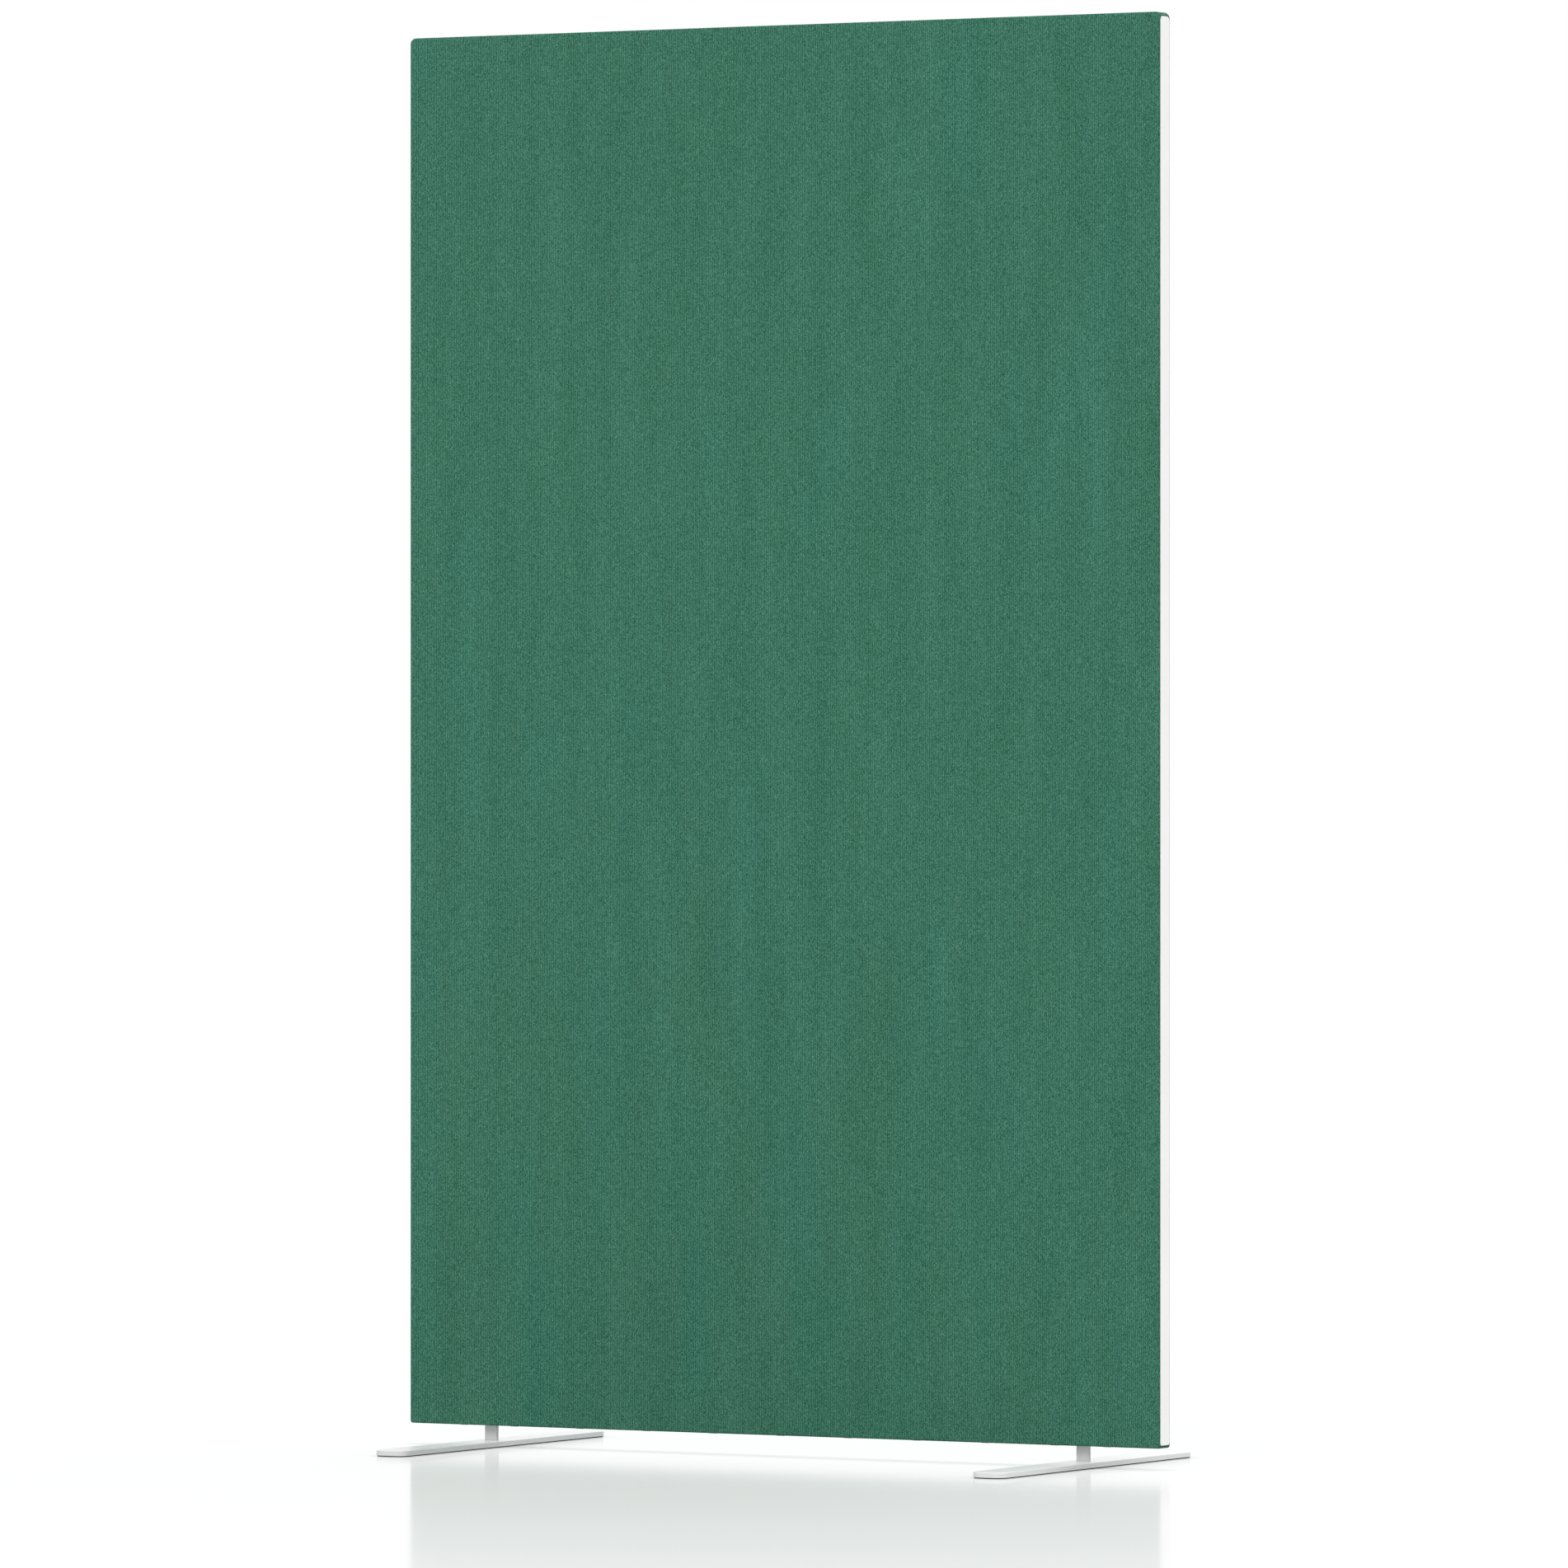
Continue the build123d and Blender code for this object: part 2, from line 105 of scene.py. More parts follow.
@dataclass(frozen=True)
class Wire:
    """A shader value that takes part in sums. Each operator adds one Math node."""

    graph: "ShaderGraph"
    socket: bpy.types.NodeSocket

    def __add__(self, other: "Wire | float") -> "Wire":
        """This value plus the other."""
        return self.graph.sum("ADD", self, other)

    def __sub__(self, other: "Wire | float") -> "Wire":
        """This value less the other."""
        return self.graph.sum("SUBTRACT", self, other)

    def __rsub__(self, other: float) -> "Wire":
        """The other less this value."""
        return self.graph.sum("SUBTRACT", other, self)

    def __mul__(self, other: "Wire | float") -> "Wire":
        """This value times the other."""
        return self.graph.sum("MULTIPLY", self, other)

    def __truediv__(self, other: "Wire | float") -> "Wire":
        """This value over the other."""
        return self.graph.sum("DIVIDE", self, other)

    def __rtruediv__(self, other: float) -> "Wire":
        """The other over this value."""
        return self.graph.sum("DIVIDE", other, self)

    __radd__ = __add__
    __rmul__ = __mul__

    def floor(self) -> "Wire":
        """The whole number at or below this value."""
        return self.graph.sum("FLOOR", self)

    def fraction(self) -> "Wire":
        """What is left of this value above its whole number."""
        return self.graph.sum("FRACT", self)

    def wave(self) -> "Wire":
        """The sine of this value, which is in radians."""
        return self.graph.sum("SINE", self)

    def held(self) -> "Wire":
        """This value, held between 0 and 1."""
        return self.graph.node("Clamp", {"Value": self})["Result"]

    def above(self, start: float, gain: float = 1.0) -> "Wire":
        """How far this value is above start, times gain, held between 0 and 1."""
        return ((self - start) * gain).held()

    def span(self, low: float, high: float) -> "Wire":
        """A value that goes from low to high as this one goes from 0 to 1."""
        return low + (high - low) * self


@dataclass(frozen=True)
class Outputs:
    """The outputs of one shader node, by name or number."""

    graph: "ShaderGraph"
    node: bpy.types.Node

    def __getitem__(self, key: str | int) -> Wire:
        """The output of that name or number."""
        return Wire(self.graph, self.node.outputs[key])


class ShaderGraph:
    """Builds the node tree of a material or of the world."""

    def __init__(self, owner: bpy.types.Material | bpy.types.World) -> None:
        """Empties the owner's node tree, ready for new nodes.

        Args:
            owner: The material or the world.
        """
        owner.use_nodes = True
        self.tree = owner.node_tree
        self.tree.nodes.clear()

    def node(self, kind: str, inputs: Mapping[str | int, Any], **settings: Any) -> Outputs:
        """Adds one node.

        Args:
            kind: The part of Blender's name for its type after ShaderNode.
            inputs: The value or wire for each of its sockets, by the socket's name or number.
            settings: Its settings, such as an operation, or a ramp's stops as (place, colour) pairs.

        Returns:
            The node's outputs.
        """
        made = self.tree.nodes.new("ShaderNode" + kind)
        for name, value in settings.items():
            if name == "stops":
                self._set_stops(made.color_ramp, value)
            else:
                setattr(made, name, value)
        for key, value in inputs.items():
            if isinstance(value, Wire):
                self.tree.links.new(value.socket, made.inputs[key])
            else:
                made.inputs[key].default_value = value
        return Outputs(self, made)

    @staticmethod
    def _set_stops(ramp: bpy.types.ColorRamp, stops: Sequence[tuple[float, Colour]]) -> None:
        """Gives a colour ramp its stops.

        Args:
            ramp: The ramp, which loses the stops it has.
            stops: The place and the linear colour of each.
        """
        while len(ramp.elements) > 1:
            ramp.elements.remove(ramp.elements[-1])
        for i, (place, colour) in enumerate(stops):
            stop = ramp.elements[0] if i == 0 else ramp.elements.new(place)
            stop.position, stop.color = place, solid(colour)

    def sum(self, operation: str, *values: Wire | float) -> Wire:
        """One Math node with that operation on the values."""
        return self.node("Math", dict(enumerate(values)), operation=operation)["Value"]

    def blend(self, share: Wire | float, first: Wire | Colour, second: Wire | Colour) -> Wire:
        """A colour that goes from the first to the second as share goes from 0 to 1."""
        colours = [c if isinstance(c, Wire) else solid(c) for c in (first, second)]
        return self.node("Mix", {0: share, 6: colours[0], 7: colours[1]}, data_type="RGBA")[2]

    def ramp(self, share: Wire, stops: Sequence[tuple[float, Colour]]) -> Wire:
        """The colour of a ramp with those stops, at share."""
        return self.node("ValToRGB", {"Fac": share}, stops=stops)["Color"]

    def scaled(self, vector: Wire, scale: Sequence[float]) -> Wire:
        """A vector with each part multiplied by its own scale."""
        return self.node("VectorMath", {0: vector, 1: tuple(scale)}, operation="MULTIPLY")[0]

    def joined(self, x: Wire | float, y: Wire | float) -> Wire:
        """A vector with those parts, and nothing in Z."""
        return self.node("CombineXYZ", {"X": x, "Y": y})["Vector"]

    def parts(self, vector: Wire) -> Outputs:
        """The X, Y and Z parts of a vector."""
        return self.node("SeparateXYZ", {"Vector": vector})

    def place(self) -> Wire:
        """The point of the piece that is shaded, in metres."""
        return self.node("TexCoord", {})["Object"]

    def random(self, column: Wire | float, row: Wire | float) -> Wire:
        """A random value from 0 to 1 that depends only on the column and the row."""
        inputs = {"Vector": self.joined(column, row)}
        return self.node("TexWhiteNoise", inputs, noise_dimensions="2D")["Value"]

    def soft_cells(self, column: Wire, row: Wire) -> Wire:
        """Uneven cells about a unit wide that melt into each other.

        Args:
            column: The place across the cells.
            row: The place up the cells.

        Returns:
            Each cell's random value, from 0 to 1.
        """
        inputs = {"Vector": self.joined(column, row), "Scale": 1.0, "Smoothness": 0.55}
        cells = self.node("TexVoronoi", inputs, voronoi_dimensions="2D", feature="SMOOTH_F1")
        return self.parts(cells["Color"])["X"]

    def noise(self, place: Wire, lumps: float | PerAxis, detail: float = 2.0, roughness: float = 0.5) -> Wire:
        """Soft noise.

        Args:
            place: Where it is read, in metres.
            lumps: About how many lumps there are to the metre, the same each way or for each axis.
            detail: How many finer layers there are.
            roughness: The strength of each layer, to the one before it.

        Returns:
            A value from 0 to 1.
        """
        if isinstance(lumps, tuple):
            place, lumps = self.scaled(place, lumps), 1.0
        inputs = {"Vector": place, "Scale": lumps, "Detail": detail, "Roughness": roughness}
        return self.node("TexNoise", inputs)["Fac"]

    def bump(self, height: Wire, distance: float, strength: float = 1.0) -> Wire:
        """The normal of a surface raised by height times distance."""
        inputs = {"Strength": strength, "Distance": distance, "Height": height}
        return self.node("Bump", inputs)["Normal"]

    def skin(
        self,
        colour: Wire,
        roughness: Wire | float,
        normal: Wire,
        metallic: float = 0.0,
        specular: float = 0.5,
        sheen: float = 0.0,
    ) -> Wire:
        """A Principled shader.

        Args:
            colour: The base colour.
            roughness: How matt it is, from 0 to 1.
            normal: The bumped normal.
            metallic: 1 for bare metal.
            specular: The level of its reflection, 0.5 for common paint.
            sheen: The weight of the pale rim that fibres give it.

        Returns:
            The shader.
        """
        inputs = {"Base Color": colour, "Roughness": roughness, "Normal": normal, "Metallic": metallic}
        inputs |= {"Specular IOR Level": specular, "Sheen Weight": sheen, "Sheen Roughness": 0.5}
        return self.node("BsdfPrincipled", inputs)["BSDF"]


# Finishes


class Finish:
    """A finish that can make its material."""

    name: str

    def material(self) -> bpy.types.Material:
        """Makes the material.

        Returns:
            A new one, with the finish's name and surface.
        """
        made = bpy.data.materials.new(self.name)
        graph = ShaderGraph(made)
        graph.node("OutputMaterial", {"Surface": self.surface(graph)})
        return made

    def surface(self, graph: ShaderGraph) -> Wire:
        """The shader that covers the surface."""
        raise NotImplementedError


@dataclass(frozen=True)
class RibbedCloth(Finish):
    """Upholstery cloth with fine upright ribs of uneven, flecked yarn.

    A tone goes from 0, the darkest stop, to 1, the lightest. A spread is how far a random value from 0
    to 1 moves it.
    """

    name: str = "ribbed_cloth"
    middle: Colour = (57, 113, 91.5)
    cool_middle: Colour = (56, 115, 96.5)
    reach: float = 44.0
    rib_pitch: float = 2.5 * MM
    stitch_pitch: float = 2.5 * MM
    stitch_shift: float = 0.5
    fleck_width: float = 0.46 * MM
    fleck_height: float = 1.0 * MM
    shadow_reach: float = 1.12 * MM
    wander: float = 1.0 * MM
    level: float = 0.46
    groove_shade_contrast: float = 0.53
    rib_middle: float = 0.49
    rib_spread: float = 0.02
    stitch_spread: float = 0.04
    fleck_spread: float = 0.83
    shadow_spread: float = -0.08
    fibre_spread: float = 0.4
    streak_spread: float = 0.19
    painted_edge_shade: float = 0.25
    rib_height: float = 0.25 * MM
    height_fibre: float = 0.5

    def stops(self, middle: Colour) -> list[tuple[float, Colour]]:
        """Five even stops, whose screen colours go from middle less the reach to middle plus the reach."""
        places = (0.0, 0.25, 0.5, 0.75, 1.0)
        return [(t, linear(*(part + (2 * t - 1) * self.reach for part in middle))) for t in places]

    def dyed(self, graph: ShaderGraph, cut: Wire, tone: Wire) -> Wire:
        """The cloth's colour, warmer and cooler in slow patches.

        Args:
            graph: The material's graph.
            cut: The place on the flat cloth.
            tone: The tone there.

        Returns:
            The colour.
        """
        patch = graph.noise(cut, lumps=(13.0, 2.6, 0.0)).above(0.42, gain=3.0)
        warm, cool = (graph.ramp(tone, self.stops(middle)) for middle in (self.middle, self.cool_middle))
        return graph.blend(patch, warm, cool)

    def surface(self, graph: ShaderGraph) -> Wire:
        """Ribs of flecked stitches, set like bricks, under slow streaks; painted shade in grooves and where
        the cloth turns.

        Args:
            graph: The material's graph.

        Returns:
            The shader.
        """
        cut = graph.node("UVMap", {}, uv_map=CUT_MAP)["UV"]
        place = graph.parts(cut)
        across, up = place["X"], place["Y"]
        across = across + (graph.noise(cut, lumps=(32.0, 6.0, 0.0)) - 0.5) * self.wander
        ribs = across / self.rib_pitch
        rib = ribs.floor()
        stitches = up / self.stitch_pitch + rib * self.stitch_shift
        row = up / self.fleck_height
        fibre = graph.noise(cut, lumps=(1500.0, 450.0, 0.0), detail=3.0, roughness=0.6)
        streak = graph.noise(cut, lumps=(28.0, 3.0, 0.0), detail=3.0, roughness=0.55)
        # Painted shade: the tone drops where the normal turns away from the front and the rear, so the rounded
        # edges, the top and the underside are darker.
        facing = graph.parts(graph.node("TexCoord", {})["Normal"])["Y"]
        # Painted shade and highlight: each rib's and each stitch's profile darkens the tone in its grooves and
        # lightens it on its crest; the bump gives the same profile as relief.
        crest = (ribs.fraction() * math.pi).wave()
        swell = (stitches.fraction() * math.pi).wave()
        painted_groove_shade = crest * swell.span(0.56, 1.0) - self.rib_middle
        tone = self.level - (1 - facing * facing) * self.painted_edge_shade + painted_groove_shade * self.groove_shade_contrast
        for chance, spread in (
            (graph.random(rib, 0.0), self.rib_spread),
            (graph.random(rib, stitches.floor()), self.stitch_spread),
            (graph.soft_cells(across / self.fleck_width, row), self.fleck_spread),
            (graph.soft_cells((across + self.shadow_reach) / self.fleck_width, row), self.shadow_spread),
            (fibre, self.fibre_spread),
            (streak, self.streak_spread),
        ):
            tone = tone + (chance - 0.5) * spread
        height = crest * swell.span(0.6, 1.0) + (fibre - 0.5) * self.height_fibre
        return graph.skin(
            self.dyed(graph, cut, tone),
            roughness=0.92,
            normal=graph.bump(height, self.rib_height, strength=0.35),
            specular=0.15,
            sheen=0.06,
        )


@dataclass(frozen=True)
class SatinPlastic(Finish):
    """Extruded plastic with a satin skin and faint drawing lines along its length."""

    name: str = "satin_plastic"
    colour: Colour = linear(245, 245, 244)
    dust: Colour = linear(231, 231, 229)

    def surface(self, graph: ShaderGraph) -> Wire:
        """An even pale skin, with a slow change of tone and fine upright lines.

        Args:
            graph: The material's graph.

        Returns:
            The shader.
        """
        place = graph.place()
        cloud = graph.noise(place, lumps=6.0, detail=3.0)
        lines = graph.noise(place, lumps=(900.0, 900.0, 2.0))
        return graph.skin(
            graph.blend(cloud.above(0.45), self.colour, self.dust),
            roughness=lines.span(0.36, 0.48),
            normal=graph.bump(lines, 0.02 * MM, strength=0.3),
        )


@dataclass(frozen=True)
class PowderCoat(Finish):
    """Powder paint on steel, with the fine orange-peel skin that baking leaves."""

    name: str = "powder_coat"
    colour: Colour = linear(236, 236, 236)
    worn: Colour = linear(214, 214, 213)
    scuff_share: float = 0.35
    cloud_share: float = 0.12

    def surface(self, graph: ShaderGraph) -> Wire:
        """A pale coat with a pebbled skin, slightly duller in broad patches.

        Args:
            graph: The material's graph.

        Returns:
            The shader.
        """
        place = graph.place()
        peel = graph.noise(place, lumps=900.0, roughness=0.45)
        cloud = graph.noise(place, lumps=14.0, detail=4.0, roughness=0.6)
        scuff = graph.noise(place, lumps=(60.0, 9.0, 60.0), detail=5.0, roughness=0.7).above(0.56, gain=3.0)
        return graph.skin(
            graph.blend(self.scuff_share * scuff + self.cloud_share * cloud, self.colour, self.worn),
            roughness=cloud.span(0.24, 0.34),
            normal=graph.bump(peel, 0.05 * MM, strength=0.35),
        )


@dataclass(frozen=True)
class MattRubber(Finish):
    """Black rubber with a grained skin."""

    name: str = "matt_rubber"
    colour: Colour = linear(30, 30, 31)
    rubbed: Colour = linear(58, 58, 58)

    def surface(self, graph: ShaderGraph) -> Wire:
        """A dark grained skin, greyer where it has rubbed.

        Args:
            graph: The material's graph.

        Returns:
            The shader.
        """
        place = graph.place()
        grain = graph.noise(place, lumps=1600.0, detail=3.0, roughness=0.6)
        rub = graph.noise(place, lumps=40.0, detail=4.0, roughness=0.6)
        return graph.skin(
            graph.blend(rub, self.colour, self.rubbed),
            roughness=grain.span(0.8, 0.95),
            normal=graph.bump(grain, 0.1 * MM, strength=0.6),
            specular=0.3,
        )


@dataclass(frozen=True)
class BrushedMetal(Finish):
    """Bare metal with fine lines along its length: an aluminium extrusion or drawn steel."""

    name: str = "mill_aluminium"
    colour: Colour = linear(206, 207, 209)
    dull: Colour = linear(168, 170, 173)
    lines_along: Along = Along.HEIGHT
    lumps_across: float = 700.0
    lumps_along: float = 6.0
    line_share: float = 0.6

    def surface(self, graph: ShaderGraph) -> Wire:
        """Metal whose roughness and tone change in fine lines.

        Args:
            graph: The material's graph.

        Returns:
            The shader.
        """
        place = graph.place()
        lumps = tuple(self.lumps_along if axis is self.lines_along else self.lumps_across for axis in Along)
        lines = graph.noise(place, lumps, detail=3.0, roughness=0.6)
        cloud = graph.noise(place, lumps=25.0, detail=3.0)
        return graph.skin(
            graph.blend(self.line_share * lines + (1 - self.line_share) * cloud, self.colour, self.dull),
            roughness=lines.span(0.28, 0.5),
            normal=graph.bump(lines, 0.02 * MM, strength=0.4),
            metallic=1.0,
        )


@dataclass(frozen=True)
class ZincPlate(Finish):
    """Bright zinc plating, with the faint crystals and yellow-blue tint of its wash."""

    name: str = "zinc_plate"
    colour: Colour = linear(196, 198, 202)
    tint: Colour = linear(178, 172, 150)

    def surface(self, graph: ShaderGraph) -> Wire:
        """Plated steel with small flat crystals.

        Args:
            graph: The material's graph.

        Returns:
            The shader.
        """
        place = graph.place()
        crystal = graph.node("TexVoronoi", {"Vector": place, "Scale": 420.0})["Distance"]
        cloud = graph.noise(place, lumps=60.0, detail=3.0)
        return graph.skin(
            graph.blend(cloud.above(0.3), self.colour, self.tint),
            roughness=crystal.span(0.26, 0.51),
            normal=graph.bump(crystal, 0.03 * MM, strength=0.4),
            metallic=1.0,
        )


@dataclass(frozen=True)
class Timber(Finish):
    """Planed wood, with growth rings cut along the grain and fine pores."""

    name: str = "softwood"
    early: Colour = linear(226, 196, 150)
    late: Colour = linear(186, 141, 92)
    grain: Along = Along.HEIGHT
    drawn_out: float = 0.06
    ring_pitch: float = 5.5 * MM
    ring_slant: float = 0.6
    ring_wander: float = 5.0
    ring_share: float = 0.8
    pore_share: float = 0.5

    def surface(self, graph: ShaderGraph) -> Wire:
        """Rings that wander slowly along the grain, with dark pores between them.

        Args:
            graph: The material's graph.

        Returns:
            The shader.
        """
        place = graph.place()
        drawn = graph.scaled(place, [self.drawn_out if axis is self.grain else 1.0 for axis in Along])
        wander = graph.noise(drawn, lumps=18.0, detail=3.0, roughness=0.6)
        parts = graph.parts(place)
        across = parts[(self.grain.value + 2) % 3] + self.ring_slant * parts[(self.grain.value + 1) % 3]
        ring = (across / self.ring_pitch + self.ring_wander * wander).fraction()
        pores = graph.noise(drawn, lumps=2600.0, roughness=0.6)
        tone = (ring * ring * self.ring_share + (pores - 0.5) * self.pore_share).held()
        return graph.skin(
            graph.blend(tone, self.early, self.late),
            roughness=pores.span(0.62, 0.77),
            normal=graph.bump(pores - 0.4 * ring, 0.06 * MM, strength=0.5),
            specular=0.35,
        )


@dataclass(frozen=True)
class PressedFibre(Finish):
    """A sheet of pressed fibres: brown hardboard, or grey felt with pale and dark flecks."""

    name: str = "pressed_felt"
    ground: Colour = linear(150, 152, 154)
    fleck: Colour = linear(205, 206, 206)
    dark_fleck: Colour = linear(92, 94, 98)
    lumps: float = 650.0
    bend: float = 0.02
    relief: float = 0.35 * MM
    rough: float = 0.93

    def surface(self, graph: ShaderGraph) -> Wire:
        """Matted fibres whose pale and dark ends show as flecks.

        Args:
            graph: The material's graph.

        Returns:
            The shader.
        """
        place = graph.place()
        twist = graph.node("TexNoise", {"Vector": place, "Scale": 90.0})["Color"]
        turned = graph.scaled(twist, (self.bend, self.bend, self.bend))
        bent = graph.node("VectorMath", {0: place, 1: turned}, operation="ADD")[0]
        fibres = graph.noise(graph.scaled(bent, (1.0, 1.0, 0.25)), self.lumps, detail=4.0, roughness=0.7)
        others = graph.noise(graph.scaled(bent, (0.25, 1.0, 1.0)), self.lumps, detail=3.0, roughness=0.7)
        pale = graph.blend(fibres.above(0.55, gain=6.0), self.ground, self.fleck)
        return graph.skin(
            graph.blend(others.above(0.58, gain=6.0), pale, self.dark_fleck),
            roughness=self.rough,
            normal=graph.bump(fibres + others, self.relief, strength=0.6),
            specular=0.2,
        )


# Shapes


@dataclass(frozen=True)
class RoundedSlab:
    """An upright slab whose corners, as seen from the front, and whose front and rear edges are rounded."""

    half_width: float
    bottom: float
    top: float
    half_thickness: float
    top_radius: float
    bottom_radius: float
    edge_radius: float
    ray_reach: float = 60 * MM
    halvings: int = 40

    def distance(self, points: Array) -> Array:
        """How far points are from the slab's surface, below 0 inside it.

        Args:
            points: Any array whose last axis is x, y and z.

        Returns:
            The distances. The front outline's own distance is the distance past a smaller rectangle, less
            the corner radius. That and the distance through the thickness meet over the edge radius in the
            same way.
        """
        middle, half_height = (self.bottom + self.top) / 2, (self.top - self.bottom) / 2
        radius = np.where(points[..., 2] > middle, self.top_radius, self.bottom_radius)
        past_x = np.abs(points[..., 0]) - self.half_width + radius
        past_z = np.abs(points[..., 2] - middle) - half_height + radius
        outline = self._joined(past_x, past_z) - radius
        through = np.abs(points[..., 1]) - self.half_thickness
        return self._joined(outline + self.edge_radius, through + self.edge_radius) - self.edge_radius

    @staticmethod
    def _joined(a: Array, b: Array) -> Array:
        """The distance past two planes at right angles: the hypotenuse outside both, and else the larger."""
        return np.hypot(np.maximum(a, 0), np.maximum(b, 0)) + np.minimum(np.maximum(a, b), 0)

    def cast(self, start: Array, direction: Array) -> Array:
        """Where rays from inside the slab meet its surface.

        Args:
            start: Points inside the slab.
            direction: A unit vector for each.

        Returns:
            The points met, found by halving each ray's reach until it ends on the surface.
        """
        low = np.zeros(start.shape[:-1])
        high = np.full(start.shape[:-1], self.ray_reach)
        for _ in range(self.halvings):
            half = (low + high) / 2
            inside = self.distance(start + direction * half[..., None]) < 0
            low, high = np.where(inside, half, low), np.where(inside, high, half)
        return start + direction * high[..., None]


@dataclass(frozen=True)
class RoundedOpening:
    """A rounded upright opening in the screen's side edge, as stations round its outline.

    The stations start beside the middle of the bottom, at the rear, and go up the rear, over the top,
    down the front and back under the bottom. Openings with the same counts have matching stations.
    """

    half: float
    bottom: float
    top: float
    top_radius: float
    bottom_radius: float
    gap: float
    notch: float
    corner_steps: int = 19
    side_steps: int = 66
    end_steps: int = 4

    def stations(self) -> tuple[Array, Array]:
        """The stations' points and outward directions.

        Returns:
            Two arrays of (y, z) pairs. On each corner both follow a quarter circle, and on each side the
            points go evenly along a straight line and the direction stays the same.
        """
        turn = np.linspace(0, math.pi / 2, self.corner_steps)
        low_arc = np.stack([np.sin(turn), -np.cos(turn)], axis=1)
        high_arc = np.stack([np.cos(turn), np.sin(turn)], axis=1)
        low_flat, high_flat = self.half - self.bottom_radius, self.half - self.top_radius
        low_end, high_end = self.bottom + self.bottom_radius, self.top - self.top_radius
        under = np.array([[self.gap / 2, self.bottom], [self.notch, self.bottom]])
        under_way = np.tile([0.0, -1.0], (2, 1))
        low = np.array([low_flat, low_end]) + self.bottom_radius * low_arc
        rise = np.linspace(low_end, high_end, self.side_steps)
        side = np.column_stack([np.full(self.side_steps, self.half), rise])
        side_way = np.tile([1.0, 0.0], (self.side_steps, 1))
        high = np.array([high_flat, high_end]) + self.top_radius * high_arc
        inwards = np.linspace(high_flat, 0, self.end_steps)
        over = np.column_stack([inwards, np.full(self.end_steps, self.top)])
        over_way = np.tile([0.0, 1.0], (self.end_steps, 1))
        points = np.concatenate([under, low, side[1:-1], high, over[1:]])
        ways = np.concatenate([under_way, low_arc, side_way[1:-1], high_arc, over_way[1:]])
        front = np.array([-1.0, 1.0])
        return tuple(np.concatenate([rear, rear[-2::-1] * front]) for rear in (points, ways))


def between(first: Array, second: Array, shares: Sequence[float]) -> Array:
    """Rows of points at those shares of the straight ways from the first points to the second."""
    return np.stack([first + (second - first) * share for share in shares])


def mirrored(half: Array) -> Array:
    """A grid whose first row is at X = 0, with its mirror image to the left joined on before it."""
    return np.concatenate([half[:0:-1] * np.array([-1.0, 1.0, 1.0]), half])


def mesh_piece(name: str, points: Array, faces: Array, cut: Array | None = None) -> bpy.types.Object:
    """Makes a piece from arrays and lets it ride on the screen.

    Args:
        name: The piece's name.
        points: Its vertices, (n, 3), in metres.
        faces: Its quads, (m, 4), as vertex numbers, anticlockwise from outside.
        cut: Where each vertex lies on the flat cloth, (n, 2), in metres, if it is cloth.

    Returns:
        The new object, at the origin.
    """
    mesh = bpy.data.meshes.new(name)
    mesh.vertices.add(len(points))
    mesh.vertices.foreach_set("co", points.astype(np.float32).ravel())
    mesh.loops.add(faces.size)
    mesh.loops.foreach_set("vertex_index", faces.astype(np.int32).ravel())
    mesh.polygons.add(len(faces))
    mesh.polygons.foreach_set("loop_start", np.arange(0, faces.size, 4, dtype=np.int32))
    mesh.update(calc_edges=True)
    if cut is not None:
        layer = mesh.uv_layers.new(name=CUT_MAP)
        layer.uv.foreach_set("vector", cut[faces.ravel()].astype(np.float32).ravel())
    mesh.validate()
    piece = bpy.data.objects.new(name, mesh)
    bpy.context.scene.collection.objects.link(piece)
    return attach(piece, BODY)


def grid_faces(rows: int, columns: int) -> Array:
    """The quads of a grid of rows by columns whose last column joins the first.

    Args:
        rows: How many rows of vertices there are.
        columns: How many vertices each row has.

    Returns:
        The vertex numbers, as (row, column, corner). Each quad goes from a vertex to the next column, the
        next row, and back.
    """
    row, column = np.meshgrid(np.arange(rows - 1), np.arange(columns), indexing="ij")
    after = (column + 1) % columns
    low, high = row * columns, (row + 1) * columns
    return np.stack([low + column, low + after, high + after, high + column], axis=-1)


def smooth_under(piece: bpy.types.Object, degrees: float) -> None:
    """Shades a piece smoothly, except across edges sharper than that angle."""
    piece.data.shade_smooth()
    piece.data.set_sharp_from_angle(angle=math.radians(degrees))


def wear(piece: bpy.types.Object, material: bpy.types.Material) -> None:
    """Gives a piece its material, in place of what it had."""
    piece.data.materials.clear()
    piece.data.materials.append(material)


def join_close(piece: bpy.types.Object) -> None:
    """Joins the vertices that are as good as in one place, and turns every face outwards.

    Args:
        piece: A closed piece.
    """
    work = bmesh.new()
    work.from_mesh(piece.data)
    bmesh.ops.remove_doubles(work, verts=work.verts, dist=CLOSE)
    bmesh.ops.recalc_face_normals(work, faces=work.faces)
    work.to_mesh(piece.data)
    work.free()


# The screen's sub-assemblies


